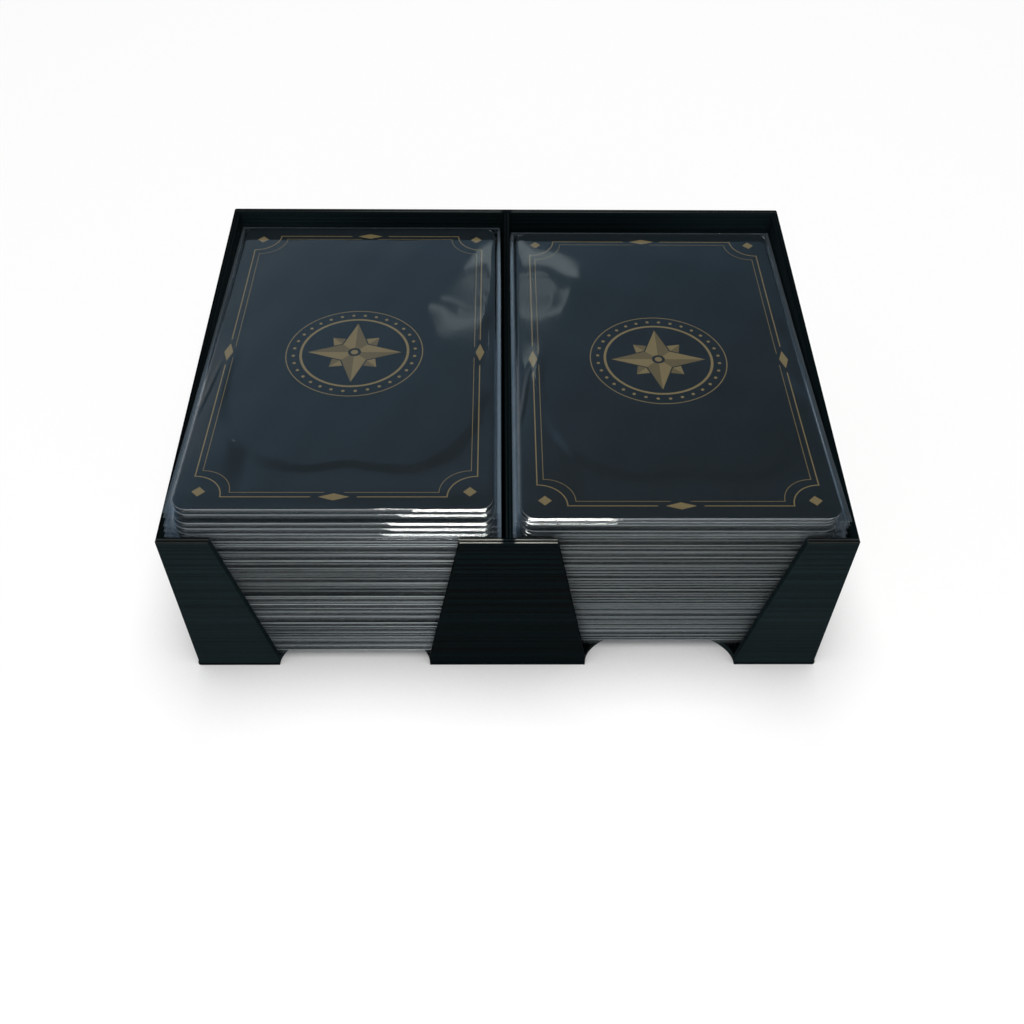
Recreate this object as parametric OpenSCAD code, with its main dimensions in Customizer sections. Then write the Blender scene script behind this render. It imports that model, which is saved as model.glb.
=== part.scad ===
// Two-bay card dispenser: a one-piece printed tray with two piles of sleeved cards.
// The front wall is cut away before each bay and the floor is notched there, so that a
// pile can be gripped and lifted. Each card lies in a clear pouch that is open in front.
// Millimetres. Origin at the centre of the underside, X right, Y back, Z up.

/* [Cards] */
// Width of a card
card_w = 69; // [60:0.5:80]
// Length of a card
card_l = 110; // [90:0.5:130]
// Thickness of a card
card_t = 0.4; // [0.24:0.02:0.5]
// Radius of a card's corners
card_r = 3.5; // [1:0.5:8]

/* [Sleeves] */
// Thickness of the clear film
film_t = 0.09; // [0.05:0.01:0.12]
// Clearance between a card and the film over it
slip = 0.08; // [0.05:0.01:0.15]
// Width of the welded seam along the sides and the back
seam_w = 0.7; // [0.3:0.1:1.5]
// Loose film between a card's long edge and the seam
loose_w = 0.8; // [0.3:0.1:1.5]
// Film that stands past the card at the open front
mouth_l = 0.8; // [0.5:0.1:4]

/* [Piles] */
// Sleeved cards in one pile, the loose top ones among them
pile_n = 43; // [20:1:50]
// Clearance under the lowest sleeve
air_floor = 0.1; // [0.08:0.01:0.3]
// Air between neighbouring sleeves at the back
air_back = 0.23; // [0.09:0.01:0.3]
// Air between neighbouring sleeves at the front of the lower pile, on average
air_front = 0.4; // [0.25:0.01:0.5]
// Share of that air by which it differs from card to card
air_vary = 0.5; // [0:0.05:0.6]
// Air between the loose top sleeves at the front
air_top = 0.41; // [0.1:0.01:1]
// Further air at the front in the widest gap between two packs of cards
air_pack = 0.8; // [0:0.05:1]
// Place of the left pile along its bay, at its bottom and its top: 0 is the front, 1 the back
left_lean = [0.05, 0.05]; // [0:0.05:1]
// Place of the right pile along its bay, at its bottom and its top
right_lean = [0.95, 0.25]; // [0:0.05:1]

/* [Tray] */
// Height of the tray
tray_h = 48; // [30:1:80]
// Thickness of the walls and the divider
wall_t = 1.6; // [1.2:0.1:3.2]
// Thickness of the floor
floor_t = 2; // [1.2:0.1:4]
// Room on each side of a sleeve in its bay
side_play = 0.55; // [0.2:0.05:1.5]
// Room along a sleeve in its bay, front and back together
end_play = 3.4; // [1:0.1:8]
// Reach of the front wall over a bay at the wall's top, on each side
reach_top = 9.75; // [4:0.25:16]
// Reach of the front wall over a bay at the floor, on each side
reach_floor = 18.2; // [8:0.1:20]
// Depth of the finger notch in the floor
notch_d = 10; // [4:0.5:25]
// Radius of the tray's upright edges
edge_r = 0.5; // [0.4:0.1:1.5]
// Spread of the first printed layers past the walls
foot_spread = 0.25; // [0.1:0.05:0.5]
// Height of those layers
foot_h = 0.4; // [0.2:0.1:0.8]

/* [Hidden] */
$fn = 64;
// Overshoot of a cutter past the face it opens
over = 1;
// Least distance between a sleeve's ends and the bay's walls
end_clear = 0.1;
// Least distance between a sleeve's sides and the bay's walls
side_clear = 0.1;

// Sizes of a sleeve, from the card that it holds
pocket_h = card_t + 2 * slip;
sleeve_t = pocket_h + 2 * film_t;
sleeve_w = card_w + 2 * (loose_w + seam_w);
sleeve_l = mouth_l + card_l + slip + seam_w;

// Half widths of a sleeve's cross-section: over the card, at the seam's inner edge and outside
flat_x = card_w / 2 + slip;
seam_x = card_w / 2 + loose_w;
side_x = sleeve_w / 2;

// Sizes of the tray, from the sleeves that it holds
bay_w = sleeve_w + 2 * side_play;
bay_l = sleeve_l + end_play;
bay_x = (bay_w + wall_t) / 2;
tray_w = 2 * bay_w + 3 * wall_t;
tray_d = bay_l + 2 * wall_t;
front_y = -tray_d / 2;

// The notch is half an ellipse, as wide as the front gap at the floor
notch_a = bay_w / 2 - reach_floor;
notch_steps = 48;

// The top cards of a pile are pieces of their own, number 1 on top
top_n = 5;
low_n = pile_n - top_n;
SIDES = ["left", "right"];
function is_left(side) = side == "left";
function lean(side) = is_left(side) ? left_lean : right_lean;
// Cards below each gap between packs, and the gap's share of the widest one
function packs(side) = is_left(side) ? [[11, 1], [20, 1], [29, 0.6]] : [[20, 0.5], [30, 0.5], [36, 1]];
// Place along the bay of the top sleeves, from number 1 down
function top_set(side) = is_left(side) ? [1, 0.85, 0.39, 0.22, 0.06] : [0.33, 0.33, 0.37, 0.14, 0.11];
// Place across the bay of the top sleeves, from number 1 down: -1 is the left, 1 the right
function top_side(side) = is_left(side) ? [-1, -0.9, -0.7, -0.9, -1] : [-0.2, -0.7, -0.8, -1, -1];
// Small disorder of a pile, from -1 to 1 for each card
function shake(side, axis) = rands(-1, 1, pile_n, (is_left(side) ? 11 : 23) + axis);
// Share of the play that the disorder takes, across and along the bay
shake_x = 0.25;
shake_y = 0.1;
// Place of both piles across their bays
side_set = -0.5;

// Height of a sleeve's underside at its back and at its front, counted from 0 at the bottom
function sum(v, n) = n <= 0 ? 0 : v[n - 1] + sum(v, n - 1);
function pack_air(side, i) =
    let (shares = [for (p = packs(side)) if (p[0] <= i) p[1]])
        air_pack * sum(shares, len(shares));
// Air in front under each card of the lower pile but the first, uneven with its mean kept
function front_airs(side) =
    let (r = shake(side, 3), mean = sum(r, low_n - 1) / (low_n - 1))
        [for (i = [0 : low_n - 2]) air_front * (1 + air_vary * (r[i] - mean))];
function back_z(i) = floor_t + air_floor + i * (sleeve_t + air_back);
function low_front_z(side, i) =
    floor_t + air_floor + i * sleeve_t + sum(front_airs(side), i) + pack_air(side, i);
function front_z(side, i) = i < low_n
    ? low_front_z(side, i)
    : low_front_z(side, low_n - 1) + (i - low_n + 1) * (sleeve_t + air_top);
function tilt(side, i) = asin((front_z(side, i) - back_z(i)) / sleeve_l);

// Place of a sleeve along and across its bay
function limit(v, low, high) = max(low, min(high, v));
function low_set(side, i) =
    lean(side)[0] + (lean(side)[1] - lean(side)[0]) * i / (low_n - 1) + shake_y * shake(side, 1)[i];
function set_of(side, i) = i < low_n ? limit(low_set(side, i), 0, 1) : top_set(side)[pile_n - 1 - i];
function mouth_y(side, i) =
    front_y + wall_t + end_clear + (end_play - 2 * end_clear) * set_of(side, i);
function side_share(side, i) = i < low_n
    ? side_set + shake_x * shake(side, 2)[i]
    : top_side(side)[pile_n - 1 - i];
function off_x(side, i) = (side_play - side_clear) * limit(side_share(side, i), -1, 1);

// A rectangle with round corners, its lower left corner at the origin
module round_rect(w, l, r) {
    translate([r, 0]) square([w - 2 * r, l]);
    translate([0, r]) square([w, l - 2 * r]);
    for (x = [r, w - r])
        for (y = [r, l - r])
            translate([x, y]) circle(r);
}

// The tray's outline seen from above, grown by a margin
module tray_outline(grow) {
    translate([-tray_w / 2 - grow, front_y - grow])
        round_rect(tray_w + 2 * grow, tray_d + 2 * grow, edge_r + grow);
}

// The half ellipse that is cut into the floor's front edge
module notch_outline() {
    polygon([
        [notch_a, -over],
        for (i = [0 : notch_steps])
            let (t = 180 * i / notch_steps) [notch_a * cos(t), notch_d * sin(t)],
        [-notch_a, -over]
    ]);
}

// The slanted gap in the front wall, as a cutter through the wall
module front_gap() {
    half_top = bay_w / 2 - reach_top;
    half_over = half_top + (half_top - notch_a) * over / (tray_h - floor_t);
    translate([0, front_y + wall_t + over / 2, 0])
        rotate([90, 0, 0])
            linear_extrude(wall_t + over)
                polygon([
                    [-notch_a, floor_t],
                    [notch_a, floor_t],
                    [half_over, tray_h + over],
                    [-half_over, tray_h + over]
                ]);
}

module tray() {
    color([0.05, 0.07, 0.07])
        difference() {
            union() {
                linear_extrude(tray_h) tray_outline(0);
                linear_extrude(foot_h) tray_outline(foot_spread);
            }
            for (s = [-1, 1])
                translate([s * bay_x, 0, 0]) {
                    translate([-bay_w / 2, front_y + wall_t, floor_t])
                        cube([bay_w, bay_l, tray_h]);
                    front_gap();
                    translate([0, front_y, -over])
                        linear_extrude(floor_t + 2 * over) notch_outline();
                }
        }
}

// Extrudes a cross-section along Y from the origin
module along_y(l) {
    translate([0, l, 0]) rotate([90, 0, 0]) linear_extrude(l) children();
}

// Both films and the seams that join them
module film_section() {
    h = sleeve_t / 2;
    top = [
        [-side_x, film_t], [-seam_x, film_t], [-flat_x, h],
        [flat_x, h], [seam_x, film_t], [side_x, film_t]
    ];
    polygon(concat(top, [for (i = [len(top) - 1 : -1 : 0]) [top[i].x, -top[i].y]]));
}

// The room between the films
module pocket_section() {
    h = pocket_h / 2;
    polygon([[-seam_x, 0], [-flat_x, h], [flat_x, h], [seam_x, 0], [flat_x, -h], [-flat_x, -h]]);
}

// A sleeve lying flat, its open end at the origin and its middle plane at zero
module sleeve() {
    color([0.8, 0.85, 0.9, 0.35])
        difference() {
            along_y(sleeve_l) film_section();
            translate([0, -over, 0])
                along_y(sleeve_l - seam_w + over) pocket_section();
        }
}

// A card in the same place as its sleeve
module card() {
    color([0.12, 0.16, 0.19])
        translate([-card_w / 2, mouth_l, -card_t / 2])
            linear_extrude(card_t) round_rect(card_w, card_l, card_r);
}

// Lays what it is given in the place of one sleeve of a pile, counted from 0 at the bottom
module lay(side, i) {
    a = tilt(side, i);
    translate([
        (is_left(side) ? -bay_x : bay_x) + off_x(side, i),
        mouth_y(side, i) + sleeve_l * cos(a),
        back_z(i)
    ])
        rotate([-a, 0, 0])
            translate([0, -sleeve_l, sleeve_t / 2]) children();
}

module top_sleeve(side, k) {
    lay(side, pile_n - k) sleeve();
}

module top_card(side, k) {
    lay(side, pile_n - k) card();
}

module pile_sleeves(side) {
    for (i = [0 : low_n - 1])
        lay(side, i) sleeve();
}

module pile_cards(side) {
    for (i = [0 : low_n - 1])
        lay(side, i) card();
}

tray();
for (side = SIDES) {
    for (k = [1 : top_n]) {
        top_sleeve(side, k);
        top_card(side, k);
    }
    pile_sleeves(side);
    pile_cards(side);
}
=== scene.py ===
import math
import random

import bpy
from mathutils import Matrix, Vector


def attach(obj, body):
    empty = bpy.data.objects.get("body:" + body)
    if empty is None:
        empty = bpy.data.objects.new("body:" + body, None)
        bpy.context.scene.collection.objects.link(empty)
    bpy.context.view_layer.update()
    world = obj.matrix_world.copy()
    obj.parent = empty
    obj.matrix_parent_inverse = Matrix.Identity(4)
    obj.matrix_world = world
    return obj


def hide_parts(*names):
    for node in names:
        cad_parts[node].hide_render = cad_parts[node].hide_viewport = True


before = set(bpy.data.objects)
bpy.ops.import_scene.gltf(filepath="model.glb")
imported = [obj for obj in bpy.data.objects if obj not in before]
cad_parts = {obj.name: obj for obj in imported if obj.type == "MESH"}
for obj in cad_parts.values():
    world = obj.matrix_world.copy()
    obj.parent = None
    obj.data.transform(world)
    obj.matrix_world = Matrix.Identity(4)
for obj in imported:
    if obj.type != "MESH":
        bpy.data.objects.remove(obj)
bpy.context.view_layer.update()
scene = bpy.context.scene

MM = 0.001
SIDES = ("left", "right")
TOP_N = 5
PILE_N = 43

# Sizes of a sleeved card in millimetres, as in the solids
CARD_W = 69
CARD_L = 110
CARD_T = 0.4
CARD_R = 3.5
FILM_T = 0.09
SLIP = 0.08
SEAM_W = 0.7
LOOSE_W = 0.8
MOUTH_L = 0.8
POCKET_H = CARD_T + 2 * SLIP
EDGE_X = CARD_W / 2
SEAM_X = EDGE_X + LOOSE_W
SIDE_X = SEAM_X + SEAM_W
SEAM_Y = MOUTH_L + CARD_L + SLIP
SLEEVE_L = SEAM_Y + SEAM_W
# Distance from a sleeve's mouth to the middle of its card
MOUTH_Y = MOUTH_L + CARD_L / 2

# Sag of the top card between its ends: the piles bow a little, less towards the floor
BOW = 0.7
# Height of the slow waves in a top film and in the films below it, and of the air in a top pouch
WAVE_TOP = 0.05
WAVE_UNDER = 0.01
PUFF = 0.45
# Least and greatest length of each wave across and along a film, and its share of the height; a
# negative length slants the other way
WAVES = (
    ((26, 44), (34, 60), 0.45),
    ((14, 22), (-24, -40), 0.3),
    ((40, 90), (12, 18), 0.15),
    ((-8, -12), (30, 60), 0.1),
)
# Distance from the mouth over which the waves die out
CALM = 6
# Share of its height that a film loses with each millimetre past its card, what a pressed lip loses
# more, and the least that it keeps
DROOP = 0.69
PRESS = 0.35
LEAST_LIFT = 0.2
# Distance from a top card's middle, towards the middle of the tray, from which its lip isn't pressed,
# and the width over which that changes
FREE_LIP = {"left": (17.7, 14.1, 10.6, 10.5, 8.8), "right": (9.5, 12.0, 14.0, 14.0, 14.0)}
LIP_CHANGE = 4
# Steps round a card's corner and along its side
CORNER_STEPS = 6
SIDE_STEPS = 12
# Faces that meet at more than this angle keep a sharp edge
SHARP = math.radians(38)


# Meshes

def smooth(t):
    """An even step from 0 to 1."""
    t = min(1.0, max(0.0, t))
    return t * t * (3 - 2 * t)


def sag(bow, y):
    """Height of a bowed card's middle plane at a distance from its centre."""
    return -bow * (1 - (y / MOUTH_Y) ** 2)


def card_shape(bow):
    """A card with round corners, centred on the origin: its back up, its edge and its face down."""
    half, end = CARD_W / 2, CARD_L / 2
    arc = [math.radians(90 * i / CORNER_STEPS) for i in range(CORNER_STEPS + 1)]
    front = [(-end + CARD_R * (1 - math.cos(a)), half - CARD_R * (1 - math.sin(a))) for a in arc]
    straight = CARD_L - 2 * CARD_R
    middle = [(-end + CARD_R + straight * i / SIDE_STEPS, half) for i in range(1, SIDE_STEPS)]
    back = [(-y, x) for y, x in reversed(front)]
    stations = front + middle + back
    points, faces = [], []
    for y, x in stations:
        z = sag(bow, y)
        high, low = z + CARD_T / 2, z - CARD_T / 2
        points += [(-x, y, high), (x, y, high), (x, y, low), (-x, y, low)]
    for a in range(0, 4 * len(stations) - 4, 4):
        b = a + 4
        faces += [
            ((a, a + 1, b + 1, b), BACK),
            ((a + 3, b + 3, b + 2, a + 2), FACE),
            ((a + 1, a + 2, b + 2, b + 1), EDGE),
            ((a + 3, a, b, b + 3), EDGE),
        ]
    last = 4 * len(stations) - 4
    faces += [((3, 2, 1, 0), EDGE), ((last + 2, last + 3, last, last + 1), EDGE)]
    return points, faces


def both_ways(values):
    """The values with their negatives, in rising order."""
    return sorted({-v for v in values} | set(values))


def spread(start, stop, step):
    """Even values from start up to stop, stop left out."""
    return [start + step * i for i in range(math.ceil((stop - start) / step))]


def past_card(x, y):
    """How far a point of a pouch lies outside its card's outline, with y from the mouth."""
    across = abs(x) - (CARD_W / 2 - CARD_R)
    along = abs(y - MOUTH_Y) - (CARD_L / 2 - CARD_R)
    return math.hypot(max(across, 0), max(along, 0)) + min(max(across, along), 0) - CARD_R


def lip_droop(side, k):
    """How a top pouch's lip droops across its width: free towards the tray's middle, or pressed."""
    inward, start = 1 if side == "left" else -1, FREE_LIP[side][k - 1]
    return lambda x: DROOP + PRESS * smooth((start - inward * x) / LIP_CHANGE + 0.5)


def pouch_shape(columns, stations, bow, wave, droop):
    """A clear pouch of two films, welded at the sides and the back and open in front."""
    points, faces = [], []

    def put(x, y, z):
        points.append((x, y, z))
        return len(points) - 1

    layers = []
    for x in columns:
        column = []
        for y in stations:
            inside = abs(x) <= SEAM_X and y <= SEAM_Y
            side = smooth((SEAM_X - abs(x)) / LOOSE_W)
            back = min(1.0, max(0.0, (SEAM_Y - y) / SLIP))
            lift = side * back * max(LEAST_LIFT, 1 - droop(x) * max(past_card(x, y), 0))
            high = POCKET_H / 2 * lift + wave(x, y) * side * back * smooth(y / CALM)
            low = -POCKET_H / 2 * side * back
            mid, at = sag(bow, y - MOUTH_Y), y - MOUTH_Y
            top = put(x, at, mid + high + FILM_T)
            under = put(x, at, mid + low - FILM_T)
            room = None
            if inside and lift > 0:
                room = put(x, at, mid + high), put(x, at, mid + low)
            elif inside:
                room = (put(x, at, mid),) * 2
            column.append((top, under, room))
        layers.append(column)

    rows, last = range(len(stations) - 1), len(columns) - 1
    for i in range(last):
        for j in rows:
            cell = [layers[i][j], layers[i + 1][j], layers[i + 1][j + 1], layers[i][j + 1]]
            pocket = all(c[2] for c in cell)
            kind = FILM if pocket else WELD
            faces.append(([c[0] for c in cell], kind))
            faces.append(([c[1] for c in reversed(cell)], kind))
            if pocket:
                for level, corners in ((0, list(reversed(cell))), (1, cell)):
                    ring = list(dict.fromkeys(c[2][level] for c in corners))
                    faces.append((ring, FILM))
        (top_a, low_a, room_a), (top_b, low_b, room_b) = layers[i][0], layers[i + 1][0]
        if room_a and room_b:
            faces.append(([room_a[0], room_b[0], top_b, top_a], RIM))
            faces.append(([low_a, low_b, room_b[1], room_a[1]], RIM))
        else:
            faces.append(([low_a, low_b, top_b, top_a], WELD))
        top_c, low_c, top_d, low_d = *layers[i][-1][:2], *layers[i + 1][-1][:2]
        faces.append(([low_d, low_c, top_c, top_d], RIM))
    for j in rows:
        (top_a, low_a, _), (top_b, low_b, _) = layers[0][j], layers[0][j + 1]
        faces.append(([low_a, top_a, top_b, low_b], RIM))
        (top_a, low_a, _), (top_b, low_b, _) = layers[last][j], layers[last][j + 1]
        faces.append(([top_a, low_a, low_b, top_b], RIM))
    return points, faces


def film_wave(seed, height, puff=0):
    """Height of a film over its pocket: air under it, and slow waves that differ with the seed."""
    rng = random.Random(seed)
    terms = [
        (1 / rng.uniform(*across), 1 / rng.uniform(*along), rng.uniform(0, 6.3), share)
        for across, along, share in WAVES
    ]

    def wave(x, y):
        total = sum(share * math.sin(2 * math.pi * (x * u + y * v) + p) for u, v, p, share in terms)
        pillow = 0
        if y < SEAM_Y:
            pillow = (1 - abs(x / SEAM_X) ** 4) * (1 - abs(2 * y / SEAM_Y - 1) ** 6)
        return height * (1 + total) + puff * pillow

    return wave


def build(name, parts, materials):
    """One object from shapes in millimetres, each laid by a matrix; its origin is the last one's."""
    points, faces, kinds = [], [], []
    origin = parts[-1][1].translation
    for (shape_points, shape_faces), matrix in parts:
        start = len(points)
        points += [matrix @ (Vector(p) * MM) - origin for p in shape_points]
        faces += [[start + c for c in corners] for corners, _ in shape_faces]
        kinds += [kind for _, kind in shape_faces]
    mesh = bpy.data.meshes.new(name)
    mesh.from_pydata(points, [], faces)
    for material in materials:
        mesh.materials.append(material)
    mesh.polygons.foreach_set("material_index", kinds)
    mesh.shade_smooth()
    mesh.set_sharp_from_angle(angle=SHARP)
    mesh.update()
    obj = bpy.data.objects.new(name, mesh)
    scene.collection.objects.link(obj)
    obj.location = origin
    return obj


def plates(node):
    """A matrix for each card of a node, lowest first: its centre, with Z out of its back."""
    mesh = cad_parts[node].data
    root = list(range(len(mesh.vertices)))

    def find(i):
        while root[i] != i:
            root[i] = root[root[i]]
            i = root[i]
        return i

    upper = [f for f in mesh.polygons if f.normal.z > 0.5]
    for face in upper:
        for v in face.vertices[1:]:
            root[find(v)] = find(face.vertices[0])
    groups = {}
    for face in upper:
        groups.setdefault(find(face.vertices[0]), []).append(face)
    found = []
    for faces in groups.values():
        up = sum((f.normal * f.area for f in faces), Vector()).normalized()
        corners = [mesh.vertices[v].co for f in faces for v in f.vertices]
        low = Vector(map(min, *corners))
        high = Vector(map(max, *corners))
        across = Vector((1, 0, 0))
        turn = Matrix((across, up.cross(across), up)).transposed().to_4x4()
        found.append(Matrix.Translation((low + high) / 2 - up * CARD_T * MM / 2) @ turn)
    return sorted(found, key=lambda m: m.translation.z)


# Materials

BACK, EDGE, FACE = range(3)
FILM, RIM, WELD = range(3)

NAVY = (0.0045, 0.0087, 0.0117, 1)
NAVY_LIGHT = (0.0063, 0.0113, 0.0147, 1)
GOLD = (0.165, 0.128, 0.062, 1)
GOLD_DIM = (0.098, 0.077, 0.038, 1)

# The print in millimetres from a card's middle. The border's lines: half width, half length, radius of
# the cut-out corners, and half the line's width
BORDERS = ((31.0, 51.0, 6.5, 0.14), (29.6, 49.6, 6.9, 0.08))
FACE_BORDER = (31.0, 51.0, 6.5, 0.17)
# Lozenges by their middle and half sizes: where the border breaks off, and the gems
BREAKS = (((31.0, 0), 2.4, 5.2), ((0, 51.0), 5.2, 2.4))
GEMS = (((31.0, 0), 1.1, 3.4), ((0, 51.0), 3.4, 1.1), ((29.4, 49.4), 1.5, 1.5))
# The rosette's rings by radius and half width, its beads, and its stars by radius of tip and valley
RINGS = ((16.8, 0.13), (13.2, 0.32))
BEAD_N = 32
BEAD_RING = 15.0
BEAD_R = 0.42
LONG_STAR = (11.6, 4.3)
SHORT_STAR = (8.2, 4.9)
STAR_GAP = 0.3
HUB_R = 1.6
DOT_R = 0.9
# Half the width over which ink fades into paper
FADE = 0.05


class Shader:
    """One material's node tree, with short ways to add nodes and link them."""

    def __init__(self, name):
        self.material = bpy.data.materials.new(name)
        self.material.use_nodes = True
        self.tree = self.material.node_tree
        self.tree.nodes.clear()

    def feed(self, socket, value):
        if isinstance(value, bpy.types.NodeSocket):
            self.tree.links.new(value, socket)
        else:
            socket.default_value = value

    def add(self, kind, inputs=None, **settings):
        node = self.tree.nodes.new(kind)
        for key, value in settings.items():
            setattr(node, key, value)
        for key, value in (inputs or {}).items():
            self.feed(node.inputs[key], value)
        return node

    def math(self, operation, *values):
        node = self.add("ShaderNodeMath", operation=operation)
        for socket, value in zip(node.inputs, values):
            self.feed(socket, value)
        return node.outputs[0]

    def top(self, *values):
        """The largest of the values."""
        most = values[0]
        for value in values[1:]:
            most = self.math("MAXIMUM", most, value)
        return most

    def ramp(self, value, low, high, to_low=0.0, to_high=1.0, kind="SMOOTHSTEP"):
        node = self.add("ShaderNodeMapRange", interpolation_type=kind)
        for socket, given in zip(node.inputs, (value, low, high, to_low, to_high)):
            self.feed(socket, given)
        return node.outputs[0]

    def mix(self, share, a, b):
        node = self.add("ShaderNodeMix", data_type="RGBA")
        for socket, value in ((0, share), (6, a), (7, b)):
            self.feed(node.inputs[socket], value)
        return node.outputs[2]

    def place(self):
        """X, Y and Z in millimetres in the object's own frame."""
        where = self.add("ShaderNodeTexCoord").outputs["Object"]
        size = self.add("ShaderNodeVectorMath", {0: where}, operation="SCALE")
        size.inputs["Scale"].default_value = 1 / MM
        split = self.add("ShaderNodeSeparateXYZ", {0: size.outputs[0]})
        return size.outputs[0], *split.outputs

    def normal(self):
        """X, Y and Z of the normal in the object's own frame."""
        facing = self.add("ShaderNodeTexCoord").outputs["Normal"]
        return self.add("ShaderNodeSeparateXYZ", {0: facing}).outputs

    def join(self, x, y, z):
        return self.add("ShaderNodeCombineXYZ", {0: x, 1: y, 2: z}).outputs[0]

    def scaled(self, values, factors):
        """A point whose coordinates are the values times the factors."""
        return self.join(*(self.math("MULTIPLY", v, f) for v, f in zip(values, factors)))

    def choose(self, share, a, b):
        """The value a where the share is 1, and b where it is 0."""
        rest = self.math("SUBTRACT", 1, share)
        return self.math("ADD", self.math("MULTIPLY", a, share), self.math("MULTIPLY", b, rest))

    def length(self, x, y):
        squares = self.math("MULTIPLY", x, x), self.math("MULTIPLY", y, y)
        return self.math("SQRT", self.math("ADD", *squares))

    def blend(self, share, a, b):
        """A shader that goes from a to b as the share goes from 0 to 1."""
        return self.add("ShaderNodeMixShader", {0: share, 1: a.outputs[0], 2: b.outputs[0]})

    def noise(self, where, scale, detail=2.0, rough=0.5):
        node = self.add(
            "ShaderNodeTexNoise",
            {"Vector": where, "Scale": scale, "Detail": detail, "Roughness": rough},
        )
        return node.outputs[0]

    def bump(self, height, distance, strength=1.0):
        node = self.add(
            "ShaderNodeBump", {"Height": height, "Distance": distance, "Strength": strength}
        )
        return node.outputs["Normal"]

    def end(self, surface):
        out = self.add("ShaderNodeOutputMaterial")
        self.tree.links.new(surface.outputs[0], out.inputs["Surface"])
        return self.material


def ink(s, distance, half_width):
    """Share of ink on a line of that half width, along where the distance is 0."""
    return s.ramp(s.math("ABSOLUTE", distance), half_width - FADE, half_width + FADE, 1, 0)


def filled(s, distance):
    """Share of ink inside a form, where its distance is below 0."""
    return s.ramp(distance, -FADE, FADE, 1, 0)


def plaque(s, ax, ay, half_w, half_l, corner):
    """Distance from a rectangle whose corners are cut out by quarter circles."""
    x, y = s.math("SUBTRACT", ax, half_w), s.math("SUBTRACT", ay, half_l)
    return s.top(x, y, s.math("SUBTRACT", corner, s.length(x, y)))


def lozenge(s, ax, ay, at, half_w, half_l):
    """Distance from a lozenge at a point of the quarter that the others mirror."""
    x = s.math("ABSOLUTE", s.math("SUBTRACT", ax, at[0]))
    y = s.math("ABSOLUTE", s.math("SUBTRACT", ay, at[1]))
    long = math.hypot(1 / half_w, 1 / half_l)
    total = s.math("ADD", s.math("MULTIPLY", x, 1 / half_w), s.math("MULTIPLY", y, 1 / half_l))
    return s.math("MULTIPLY", s.math("SUBTRACT", total, 1), 1 / long)


def star(s, radius, angle, turn, tip, valley):
    """Distance from a star of four points, and on which side of a point's middle a place lies."""
    quarter = math.pi / 2
    within = s.math("FLOORED_MODULO", s.math("ADD", angle, turn), quarter)
    bent = s.math("SUBTRACT", within, quarter / 2)
    x = s.math("MULTIPLY", radius, s.math("COSINE", bent))
    y = s.math("MULTIPLY", radius, s.math("ABSOLUTE", s.math("SINE", bent)))
    vx, vy = valley * math.cos(quarter / 2), valley * math.sin(quarter / 2)
    nx, ny = vy, tip - vx
    size = math.hypot(nx, ny)
    along = s.math("ADD", s.math("MULTIPLY", x, nx / size), s.math("MULTIPLY", y, ny / size))
    return s.math("SUBTRACT", along, tip * nx / size), s.ramp(bent, -0.004, 0.004)


def card_print(s):
    """Shares of gold and of bright gold on a card's back: a border with cut-out corners, a rosette."""
    _, x, y, _ = s.place()
    ax, ay = s.math("ABSOLUTE", x), s.math("ABSOLUTE", y)
    radius = s.length(x, y)
    angle = s.math("ARCTAN2", y, x)

    border = s.top(*(ink(s, plaque(s, ax, ay, *form), line) for *form, line in BORDERS))
    for form in BREAKS:
        border = s.math("MULTIPLY", border, s.ramp(lozenge(s, ax, ay, *form), -FADE, FADE))
    gems = [filled(s, lozenge(s, ax, ay, *form)) for form in GEMS]
    rings = [ink(s, s.math("SUBTRACT", radius, ring), line) for ring, line in RINGS]

    slot = 2 * math.pi / BEAD_N
    bent = s.math("SUBTRACT", s.math("FLOORED_MODULO", angle, slot), slot / 2)
    side = s.math("MULTIPLY", radius, s.math("SINE", bent))
    out = s.math("SUBTRACT", s.math("MULTIPLY", radius, s.math("COSINE", bent)), BEAD_RING)
    beads = filled(s, s.math("SUBTRACT", s.length(side, out), BEAD_R))

    long_edge, long_half = star(s, radius, angle, math.pi / 4, *LONG_STAR)
    short_edge, short_half = star(s, radius, angle, 0.0, *SHORT_STAR)
    long_star = filled(s, long_edge)
    clear = s.ramp(long_edge, STAR_GAP - FADE, STAR_GAP + FADE, 1, 0)
    short_star = s.math("MAXIMUM", s.math("SUBTRACT", filled(s, short_edge), clear), 0)
    hub = s.ramp(radius, HUB_R - FADE, HUB_R + FADE)
    halves = s.math("MULTIPLY", long_star, long_half), s.math("MULTIPLY", short_star, short_half)
    both = s.math("MINIMUM", s.math("ADD", long_star, short_star), 1)
    both = s.math("MULTIPLY", both, hub)
    dot = filled(s, s.math("SUBTRACT", radius, DOT_R))
    bright = s.math("MULTIPLY", s.math("ADD", *halves), hub)
    bright = s.top(bright, border, *rings, beads, dot, *gems)
    return s.math("MAXIMUM", both, bright), bright


def card_back():
    s = Shader("card_back")
    where, *_ = s.place()
    gold, bright = card_print(s)
    grain = s.noise(where, 0.9, 5, 0.65)
    paper = s.mix(s.ramp(grain, 0.3, 0.7), NAVY, NAVY_LIGHT)
    metal = s.mix(bright, GOLD_DIM, GOLD)
    metal = s.mix(s.ramp(s.noise(where, 3.0, 4), 0.55, 0.8, 0, 0.3), metal, GOLD_DIM)
    surface = s.add(
        "ShaderNodeBsdfPrincipled",
        {
            "Base Color": s.mix(gold, paper, metal),
            "Roughness": s.ramp(grain, 0.2, 0.8, 0.46, 0.6),
            "Specular IOR Level": 0.12,
            "Normal": s.bump(s.noise(where, 2.2, 4), 0.004 * MM),
        },
    )
    return s.end(surface)


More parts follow.
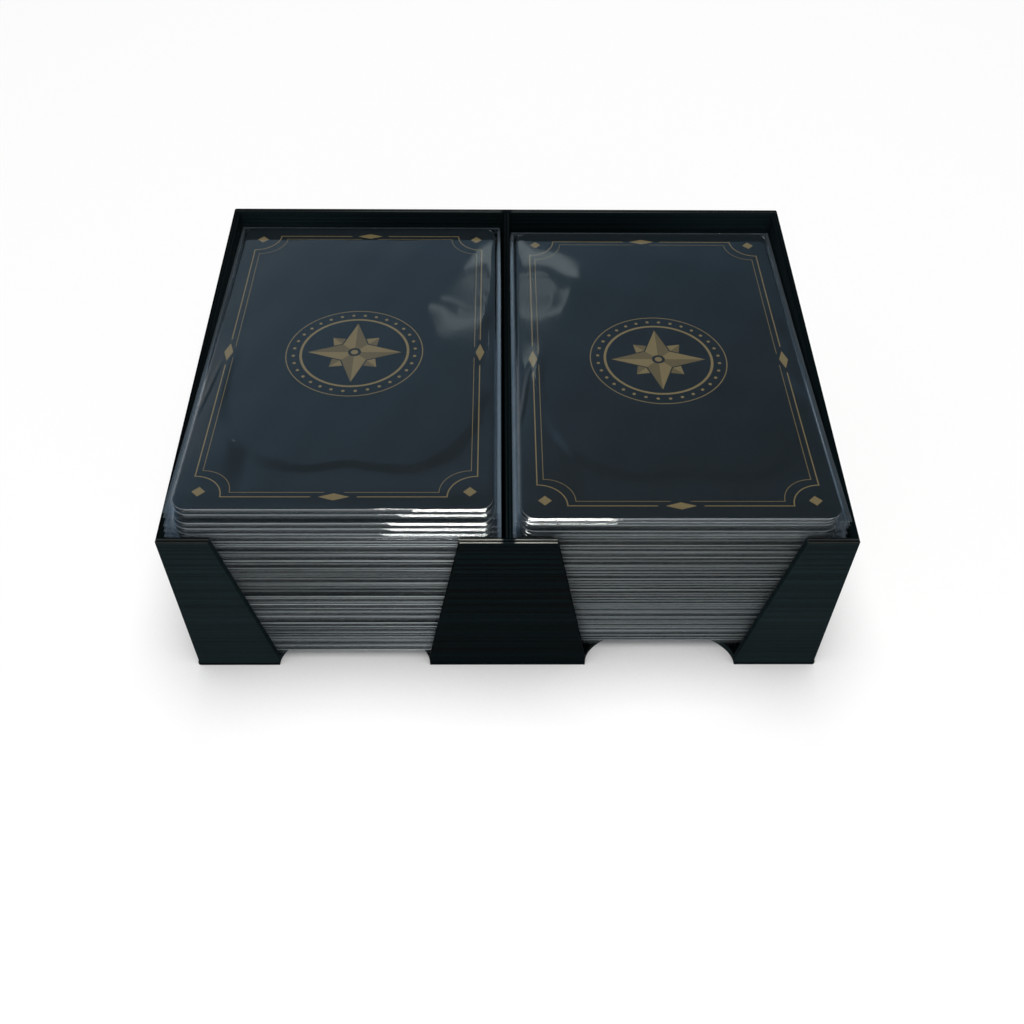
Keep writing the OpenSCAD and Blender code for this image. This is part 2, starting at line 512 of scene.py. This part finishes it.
# Heights in a pile, from the middle of its top card, between which its edges' contrast grows to the
# full, and their mean shade there: low edges are painted lighter, as if lit from the floor
CONTRAST_Z = (-38, -14)
LEAST_CONTRAST = 0.55
MEAN_SHADE = (0.525, 0.48)
# Shades of edges that are fully dark and fully light
SHADES = (0.38, 0.62)
# Half the width over which a slope of painted light reaches
SLOPE_X = 34
# Painted shade beside a gap: how much darker edges are there, and the distances up to which
# that holds fully and at all
GAP_SHADE = 0.2
GAP_REACH = (0.8, 1.2)


def card_edge(name, dark, light, contrast=1.0, slope=0.0, gaps=()):
    """Cut paper edges, each card's a little darker or lighter than the next.

    A slope is painted light: it makes them lighter towards the right. Gaps are the heights of wide
    gaps in the pile, beside which the edges are painted dark, as the shade in a gap.
    """
    s = Shader(name)
    _, x, y, z = s.place()
    streak = s.noise(s.scaled((x, y, z), (0.006, 0.3, 0.9)), 1.0, 2, 0.6)
    fleck = s.noise(s.scaled((x, y, z), (0.1, 1, 3)), 1.0, 3)
    shade = s.math("ADD", s.math("MULTIPLY", streak, 0.95), s.math("MULTIPLY", fleck, 0.05))
    gain = s.ramp(z, *CONTRAST_Z, LEAST_CONTRAST * contrast, contrast)
    # Painted light: the edges grow lighter towards the bottom of the pile
    mean = s.ramp(z, *CONTRAST_Z, *MEAN_SHADE)
    shade = s.math("MULTIPLY_ADD", s.math("SUBTRACT", shade, 0.5), gain, mean)
    # Painted light: the edges grow lighter towards the right
    if slope:
        shade = s.math("ADD", shade, s.ramp(x, -SLOPE_X, SLOPE_X, -slope, slope))
    # Painted shade: edges beside each gap are darker, as shade falls into the gap
    for gap in gaps:
        near = s.math("ABSOLUTE", s.math("SUBTRACT", z, gap))
        shade = s.math("SUBTRACT", shade, s.ramp(near, *GAP_REACH, GAP_SHADE, 0))
    surface = s.add(
        "ShaderNodeBsdfPrincipled",
        {
            "Base Color": s.mix(s.ramp(shade, *SHADES), dark, light),
            "Roughness": s.ramp(fleck, 0.3, 0.7, 0.6, 0.8),
            "Specular IOR Level": 0.15,
        },
    )
    return s.end(surface)


def card_face():
    s = Shader("card_face")
    where, x, y, _ = s.place()
    ax, ay = s.math("ABSOLUTE", x), s.math("ABSOLUTE", y)
    *form, line = FACE_BORDER
    frame_line = ink(s, plaque(s, ax, ay, *form), line)
    grain = s.noise(where, 0.9, 5, 0.65)
    paper = s.mix(grain, (0.34, 0.33, 0.30, 1), (0.42, 0.41, 0.37, 1))
    surface = s.add(
        "ShaderNodeBsdfPrincipled",
        {
            "Base Color": s.mix(frame_line, paper, GOLD),
            "Roughness": s.ramp(grain, 0.2, 0.8, 0.4, 0.55),
            "Specular IOR Level": 0.3,
        },
    )
    return s.end(surface)


def gloss_share(s, least):
    """Share of light that a clear film's face sends back, rising towards grazing views."""
    facing = s.add("ShaderNodeLayerWeight", {"Blend": 0.5}).outputs["Facing"]
    return s.ramp(s.math("POWER", facing, 5), 0, 1, least, 1, "LINEAR")


# A top film's folds, in millimetres from its card's middle. The ring where the film leaves the card is
# a rounded box: its middle and half size across and along, its size for distances, how far it wanders,
# half the width of its step, and where the step has died out
RING = ((2.2, 30.4), (2.0, 43.2))
RING_SIZE = 32
RING_WANDER = 8
RING_STEP = 1.4
RING_END = 11
# On the left and on the right: between which places along the card the step fades, from what height,
# and between which places across it left turns into right
LEFT_RING = (-14, 8, 0.42, 0)
RIGHT_RING = (8, 32, -0.27, 0)
RING_TURN = (-26, -20)
# A fold beside the ring: its distance to the left, slant, half width and height
FOLD_X = 31.6
FOLD_SLANT = -0.115
FOLD_HALF = 0.9
FOLD_H = 0.2
# Wrinkles along the sides: where the left ones fade, from what height, and the right ones' height
LEFT_WRINKLE = (-14, 8, 0.045, 0)
RIGHT_WRINKLE = 0.11


def creases(s, x, y):
    """Height in millimetres of a top film's folds: the ring, the fold and the wrinkles."""
    parts = []
    for value, (centre, half) in zip((x, y), RING):
        share = s.math("MULTIPLY", s.math("SUBTRACT", value, centre), 1 / half)
        parts.append(s.math("POWER", s.math("ABSOLUTE", share), 4))
    round_box = s.math("POWER", s.math("ADD", *parts), 0.25)
    off = s.math("MULTIPLY", s.math("SUBTRACT", round_box, 1), RING_SIZE)
    where = s.join(s.math("MULTIPLY", x, 0.05), s.math("MULTIPLY", y, 0.04), 0.0)
    wander = s.math("SUBTRACT", s.noise(where, 1.0, 1), 0.5)
    off = s.math("ADD", off, s.math("MULTIPLY", wander, RING_WANDER))
    rise, decay = s.ramp(off, -RING_STEP, RING_STEP), s.ramp(off, RING_STEP, RING_END, 1, 0)
    tall = s.ramp(x, *RING_TURN, s.ramp(y, *LEFT_RING), s.ramp(y, *RIGHT_RING))
    ring = s.math("MULTIPLY", s.math("MULTIPLY", rise, decay), tall)

    aside = s.math("ADD", s.math("ADD", x, FOLD_X), s.math("MULTIPLY", y, FOLD_SLANT))
    reach = s.math("MULTIPLY", s.ramp(y, -27, -17), s.ramp(y, -11, -1, 1, 0))
    ridge = s.ramp(s.math("ABSOLUTE", aside), 0, FOLD_HALF, FOLD_H, 0)
    fold = s.math("MULTIPLY", ridge, reach)

    along = s.join(s.math("MULTIPLY", x, 0.4), s.math("MULTIPLY", y, 0.045), 3.3)
    left = s.ramp(x, -31, -23, s.ramp(y, *LEFT_WRINKLE), 0)
    beside = s.math("ADD", left, s.ramp(x, 27, 35, 0, RIGHT_WRINKLE))
    inside = s.ramp(s.math("ABSOLUTE", x), EDGE_X - 1.5, EDGE_X, 1, 0)
    wrinkle = s.math("MULTIPLY", s.noise(along, 1.0, 0), s.math("MULTIPLY", beside, inside))
    return s.math("ADD", s.math("ADD", ring, fold), wrinkle)


# Height of a film's own ripple, and its roughness and least gloss where it is clean and smudged
RIPPLE = 0.008
FILM_ROUGH = (0.045, 0.07)
FILM_GLOSS = (0.04, 0.044)


def film(name, folded):
    """Clear film; a folded one lies loose on top of a pile."""
    s = Shader(name)
    where, x, y, _ = s.place()
    ripple = s.join(s.math("MULTIPLY", x, 0.12), s.math("MULTIPLY", y, 0.06), 0.0)
    height = s.math("MULTIPLY", s.noise(ripple, 1.0, 0), RIPPLE)
    if folded:
        height = s.math("ADD", height, creases(s, x, y))
    smudge = s.noise(where, 0.06, 3)
    clear = s.add("ShaderNodeBsdfTransparent", {"Color": (0.985, 0.99, 0.992, 1)})
    gloss = s.add(
        "ShaderNodeBsdfPrincipled",
        {
            "Base Color": (0.93, 0.96, 1.0, 1),
            "Metallic": 1.0,
            "Roughness": s.ramp(smudge, 0.4, 0.7, *FILM_ROUGH),
            "Normal": s.bump(height, MM),
        },
    )
    share = gloss_share(s, s.ramp(smudge, 0.4, 0.7, *FILM_GLOSS))
    return s.end(s.blend(share, clear, gloss))


def film_rim():
    """The cut edge of a film, which catches a little light."""
    s = Shader("film_rim")
    _, x, y, z = s.place()
    cut = s.noise(s.scaled((x, y, z), (0.03, 0.03, 1.2)), 1.0, 2)
    clear = s.add("ShaderNodeBsdfTransparent", {"Color": (0.9, 0.93, 0.95, 1)})
    bright = s.add(
        "ShaderNodeBsdfPrincipled",
        {
            "Base Color": (0.30, 0.335, 0.36, 1),
            "Roughness": s.ramp(cut, 0.3, 0.7, 0.2, 0.4),
        },
    )
    return s.end(s.blend(s.ramp(cut, 0.3, 0.7, 0.06, 0.3), clear, bright))


def film_weld():
    """The pressed seam of a pouch, a little cloudy."""
    s = Shader("film_weld")
    _, x, y, _ = s.place()
    press = s.noise(s.join(x, s.math("MULTIPLY", y, 0.08), 0.0), 1.0, 2)
    clear = s.add("ShaderNodeBsdfTransparent", {"Color": (0.96, 0.97, 0.98, 1)})
    gloss = s.add(
        "ShaderNodeBsdfPrincipled",
        {
            "Base Color": (0.75, 0.82, 0.88, 1),
            "Metallic": 1.0,
            "Roughness": s.ramp(press, 0.3, 0.7, 0.1, 0.22),
            "Normal": s.bump(press, 0.005 * MM),
        },
    )
    haze = s.add(
        "ShaderNodeBsdfPrincipled", {"Base Color": (0.36, 0.45, 0.53, 1), "Roughness": 0.6}
    )
    cloudy = s.blend(s.ramp(press, 0.2, 0.8, 0.036, 0.048), clear, haze)
    return s.end(s.blend(gloss_share(s, 0.05), cloudy, gloss))


# Height of one printed layer and width of one printed line, in millimetres
LAYER_H = 0.25
LINE_W = 0.8
# Half the depth of the bays, beyond which the front and back walls lie
BAY_HALF = 57.49
# Darkest and lightest colour of the plastic, where it is plain and where light is painted on it: on
# the walls towards the tray's ends, and on the back walls, though not on top faces
PLAIN = ((0.0001, 0.0005, 0.0007, 1), (0.0012, 0.004, 0.0045, 1))
PAINTED_LIGHT = ((0.0065, 0.0125, 0.0142, 1), (0.0105, 0.0185, 0.0202, 1))
# Colour of a printed line on a top face, in the shade and where it shines
LINE = ((0.003, 0.005, 0.006, 1), (0.115, 0.118, 0.114, 1))
# Depth of the grooves between layers
GROOVE = 0.045


def printed_plastic():
    """Black plastic laid in lines: layers on walls, lines on top, and painted light and sheen."""
    s = Shader("printed_plastic")
    _, x, y, z = s.place()
    up = s.ramp(s.math("ABSOLUTE", s.normal()[2]), 0.6, 0.8)
    cross_wall = s.math("GREATER_THAN", s.math("ABSOLUTE", y), BAY_HALF)
    layer = s.math("MULTIPLY", z, 1 / LAYER_H)
    line = s.math("MULTIPLY", s.choose(cross_wall, y, x), 1 / LINE_W)
    count = s.choose(up, line, layer)
    ridge = s.math("ABSOLUTE", s.math("SINE", s.math("MULTIPLY", count, math.pi)))
    odd = s.add("ShaderNodeTexWhiteNoise", {"W": s.math("FLOOR", count)}, noise_dimensions="1D")
    odd = odd.outputs["Value"]
    band = s.noise(s.scaled((x, y, z), (0.012, 0.012, 1.2)), 1.0, 3)
    uneven = s.noise(s.scaled((x, y, count), (0.15, 0.15, 1.0)), 1.0, 2)
    rough = s.math("ADD", s.math("MULTIPLY", odd, 0.5), s.math("MULTIPLY", uneven, 0.6))
    height = s.math("ADD", ridge, rough)

    tone = s.math("ADD", s.math("MULTIPLY", odd, 0.35), s.math("MULTIPLY", band, 0.65))
    tone = s.ramp(tone, 0.35, 0.65)
    outward = s.math("ABSOLUTE", x)
    behind = s.math("GREATER_THAN", y, BAY_HALF - 1)
    # Painted light: walls grow lighter towards the tray's ends and on the back walls, not on top faces
    painted_light = s.math("ADD", s.ramp(outward, 25, 65, 0, 0.6), s.math("MULTIPLY", behind, 0.35))
    painted_light = s.math("MULTIPLY", painted_light, s.math("SUBTRACT", 1, up))
    walls = s.mix(painted_light, s.mix(tone, *PLAIN), s.mix(tone, *PAINTED_LIGHT))

    bead = s.math("MULTIPLY", up, s.ramp(ridge, 0.5, 0.95))
    # Painted highlight: how strongly the top lines mirror the lamps is set by place: only on the front
    # and back walls, less at the back and towards the ends, and not where the divider meets the wall
    painted_sheen = s.math("MULTIPLY", s.ramp(outward, 25, 60, 1, 0.3), s.ramp(outward, 1.0, 1.9))
    shining = s.math("SUBTRACT", cross_wall, s.math("MULTIPLY", behind, 0.3))
    painted_sheen = s.math("MULTIPLY", painted_sheen, shining)
    matt = s.ramp(s.math("ADD", band, s.math("MULTIPLY", odd, 0.3)), 0.4, 0.9, 0.7, 0.85)
    surface = s.add(
        "ShaderNodeBsdfPrincipled",
        {
            "Base Color": s.mix(bead, walls, s.mix(painted_sheen, *LINE)),
            "Metallic": bead,
            "Roughness": s.math("SUBTRACT", matt, s.math("MULTIPLY", bead, 0.45)),
            "Specular IOR Level": 0.02,
            "Normal": s.bump(height, GROOVE * MM, 0.8),
        },
    )
    return s.end(surface)


# The object

def dress_tray(material):
    """The frame's own tray, its edges softened as a nozzle leaves them."""
    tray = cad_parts["tray"]
    tray.data.materials.clear()
    tray.data.materials.append(material)
    weld = tray.modifiers.new("weld", "WELD")
    weld.merge_threshold = 0.001 * MM
    flat = tray.modifiers.new("flat", "DECIMATE")
    flat.decimate_type = "DISSOLVE"
    flat.angle_limit = math.radians(1)
    soft = tray.modifiers.new("soft", "BEVEL")
    soft.width = 0.2 * MM
    soft.segments = 2
    soft.limit_method = "ANGLE"
    soft.angle_limit = math.radians(35)
    soft.harden_normals = True


# Where a pouch's mesh has points, across from its middle and along from its mouth, more in a top one
LOOSE_X = [EDGE_X + LOOSE_W * share for share in (0, 0.25, 0.5, 0.75, 1)]
TOP_COLUMNS = both_ways(
    [SIDE_X, SIDE_X - SEAM_W / 2, *LOOSE_X] + spread(0, 30, 1.2) + spread(30, EDGE_X, 0.45)
)
TOP_STATIONS = spread(0, MOUTH_L, 0.2) + spread(MOUTH_L, 5, 0.35) + [5.6, 7] + spread(8.5, 108, 2)
TOP_STATIONS += [108, 110, SEAM_Y - SLIP, SEAM_Y, SEAM_Y + 0.3, SLEEVE_L]
LOW_COLUMNS = both_ways([SIDE_X, SEAM_X, EDGE_X + LOOSE_W / 2, EDGE_X, EDGE_X - 2, 30, 15, 0])
LOW_STATIONS = [0, 0.4, MOUTH_L, 1.8, 3.2, 5.3] + spread(10, 105, 15)
LOW_STATIONS += [110, SEAM_Y - SLIP, SEAM_Y, SLEEVE_L]


def lay_pile(side, top_cards, low_cards, top_films, low_films):
    """One pile: five loose sleeved cards on top and the rest under them."""
    for k in range(1, TOP_N + 1):
        place = plates(f"{side}_card_{k}")[0]
        bow = BOW * (PILE_N - k) / (PILE_N - 1)
        wave = film_wave(f"{side}{k}", *((WAVE_TOP, PUFF) if k == 1 else (WAVE_UNDER,)))
        body = f"{side}_top_{k}"
        card = build(f"{side}_top_card_{k}", [(card_shape(bow), place)], top_cards)
        films = top_films if k == 1 else low_films
        shape = pouch_shape(TOP_COLUMNS, TOP_STATIONS, bow, wave, lip_droop(side, k))
        pouch = build(f"{side}_top_pouch_{k}", [(shape, place)], films)
        for obj, node, slot in ((card, "card", "card_stock"), (pouch, "sleeve", "sleeve_film")):
            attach(obj, body)
            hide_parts(f"{side}_{node}_{k}")

    card_parts, pouch_parts = [], []
    for i, place in enumerate(plates(f"{side}_pile_cards")):
        bow = BOW * i / (PILE_N - 1)
        wave = film_wave(f"{side}pile{i}", WAVE_UNDER)
        card_parts.append((card_shape(bow), place))
        shape = pouch_shape(LOW_COLUMNS, LOW_STATIONS, bow, wave, lambda x: DROOP)
        pouch_parts.append((shape, place))
    for name, parts, materials, slot in (
        ("cards", card_parts, low_cards, "card_stock"),
        ("sleeves", pouch_parts, low_films, "sleeve_film"),
    ):
        obj = build(f"{side}_lower_{name}", parts, materials)
        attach(obj, f"{side}_pile")
        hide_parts(f"{side}_pile_{name}")


# The stage

# Colour of the surroundings at the sine of an elevation: pale at the horizon, dim overhead
SKY = (
    (0.0, (0.55, 0.58, 0.60)),
    (0.34, (0.30, 0.37, 0.43)),
    (0.46, (0.155, 0.24, 0.33)),
    (0.58, (0.085, 0.13, 0.178)),
    (0.68, (0.04, 0.05, 0.062)),
    (0.8, (0.02, 0.026, 0.032)),
)
# Share of a direction's X that is added to that sine, so that the light leans to one side
SKY_LEAN = 0.4
# Half the floor's side in metres, the share of plain white in how it looks, and how far contact
# shadows reach
FLOOR_HALF = 4.0
FLOOR_WHITE = 0.75
CONTACT = 0.02


def make_world():
    world = bpy.data.worlds.new("studio")
    world.use_nodes = True
    tree = world.node_tree
    where = tree.nodes.new("ShaderNodeTexCoord")
    split = tree.nodes.new("ShaderNodeSeparateXYZ")
    ramp = tree.nodes.new("ShaderNodeValToRGB")
    stops = ramp.color_ramp.elements
    while len(stops) < len(SKY):
        stops.new(0.5)
    for stop, (height, colour) in zip(stops, SKY):
        stop.position = height
        stop.color = (*colour, 1)
    tree.links.new(where.outputs["Generated"], split.inputs[0])
    lean = tree.nodes.new("ShaderNodeMath")
    lean.operation = "MULTIPLY_ADD"
    lean.inputs[1].default_value = SKY_LEAN
    tree.links.new(split.outputs["X"], lean.inputs[0])
    tree.links.new(split.outputs["Z"], lean.inputs[2])
    tree.links.new(lean.outputs[0], ramp.inputs[0])
    tree.links.new(ramp.outputs[0], tree.nodes["Background"].inputs["Color"])
    scene.world = world


def make_floor():
    """A pale floor that reads as white and keeps the object's shadow."""
    s = Shader("floor")
    light = s.add("ShaderNodeLightPath").outputs
    seen = s.top(light["Is Camera Ray"], light["Is Glossy Ray"], light["Is Transmission Ray"])
    plain = s.add("ShaderNodeBsdfDiffuse", {"Color": (0.93, 0.93, 0.93, 1)})
    near = s.add("ShaderNodeAmbientOcclusion", {"Distance": CONTACT}, samples=8)
    white = s.add("ShaderNodeEmission", {"Color": near.outputs["Color"], "Strength": 1.0})
    both = s.blend(s.math("MULTIPLY", seen, FLOOR_WHITE), plain, white)
    mesh = bpy.data.meshes.new("floor")
    corners = [(x * FLOOR_HALF, y * FLOOR_HALF, 0) for x, y in ((-1, -1), (1, -1), (1, 1), (-1, 1))]
    mesh.from_pydata(corners, [], [(0, 1, 2, 3)])
    mesh.materials.append(s.end(both))
    floor = bpy.data.objects.new("floor", mesh)
    scene.collection.objects.link(floor)


def area_light(name, place, target, size, watts, colour):
    data = bpy.data.lights.new(name, "AREA")
    data.shape = "RECTANGLE"
    data.size, data.size_y = size
    data.energy = watts
    data.color = colour
    lamp = bpy.data.objects.new(name, data)
    lamp.location = place
    lamp.rotation_euler = (Vector(target) - Vector(place)).to_track_quat("-Z", "Y").to_euler()
    scene.collection.objects.link(lamp)


# Name, place, target, size, watts and colour of each lamp
LAMPS = (
    ("key", (0.05, -0.18, 1.1), (0, 0, 0.04), (0.7, 0.7), 9.5, (1.0, 0.985, 0.96)),
    ("fill", (0.0, -1.1, 0.45), (0, 0, 0.03), (0.7, 0.4), 0.8, (1.0, 0.98, 0.96)),
    ("front", (0.0, -0.18, 0.045), (0, -0.06, 0.02), (0.06, 0.04), 0.11, (1.0, 0.985, 0.97)),
    ("strip", (0.0, 0.48, 1.01), (0, -0.05, 0.05), (0.29, 0.18), 2.6, (1.0, 0.95, 0.86)),
    ("back", (0.0, 0.38, 1.07), (0, -0.05, 0.05), (0.95, 0.44), 0.95, (0.94, 0.98, 1.0)),
)
# Place across, height, width and tallness of the window's panes that the top films mirror
PANES = (
    (0.024, 0.490, 0.086, 0.022),
    (-0.008, 0.5187, 0.071, 0.004),
    (0.004, 0.529, 0.055, 0.004),
    (-0.006, 0.540, 0.116, 0.009),
)
PANE_Y = 0.80
PANE_TARGET = (0, 0, 0.045)
PANE_TINT = (0.9, 1.0, 0.94)
# Watts for each square metre of a pane
PANE_GLOW = 2.6


def make_lights():
    for lamp in LAMPS:
        area_light(*lamp)
    for i, (x, z, width, height) in enumerate(PANES):
        watts = PANE_GLOW * width * height
        area_light(f"pane_{i}", (x, PANE_Y, z), PANE_TARGET, (width, height), watts, PANE_TINT)


# The camera: place in millimetres, turns in degrees in their order, and lens
CAMERA_AT = (-2.1, -210.785, 242.4)
CAMERA_TURNS = ((-1.02, "Z"), (90 - 50.46, "X"), (0.8, "Z"))
LENS = 40.55
SENSOR_W = 36


def make_camera():
    data = bpy.data.cameras.new("camera")
    data.lens = LENS
    data.sensor_width = SENSOR_W
    camera = bpy.data.objects.new("camera", data)
    place = Matrix.Translation(Vector(CAMERA_AT) * MM)
    for angle, axis in CAMERA_TURNS:
        place = place @ Matrix.Rotation(math.radians(angle), 4, axis)
    camera.matrix_world = place
    scene.collection.objects.link(camera)
    scene.camera = camera


scene.view_settings.view_transform = "Standard"
# A look along a pile passes through many films
scene.cycles.transparent_max_bounces = 32
make_world()
make_floor()
make_lights()
make_camera()

dress_tray(printed_plastic())
back, face = card_back(), card_face()
# Painted light and shade: the right pile's edges are a darker copy of the left's, and the left's slope
# lighter towards the tray's middle
low_edge = {
    "left": card_edge(
        "left_pile_edge",
        (0.045, 0.052, 0.053, 1),
        (0.255, 0.276, 0.278, 1),
        slope=0.05,
        gaps=(-5.5,),
    ),
    "right": card_edge(
        "right_pile_edge",
        (0.035, 0.041, 0.042, 1),
        (0.195, 0.213, 0.216, 1),
        contrast=0.5,
        gaps=(2.0,),
    ),
}
top_edge = card_edge("top_edge", (0.10, 0.113, 0.121, 1), (0.16, 0.175, 0.184, 1))
rim, weld = film_rim(), film_weld()
folded_film, flat_film = film("folded_film", True), film("flat_film", False)
for side in SIDES:
    top_cards, low_cards = [back, top_edge, face], [back, low_edge[side], face]
    lay_pile(side, top_cards, low_cards, [folded_film, rim, weld], [flat_film, rim, weld])
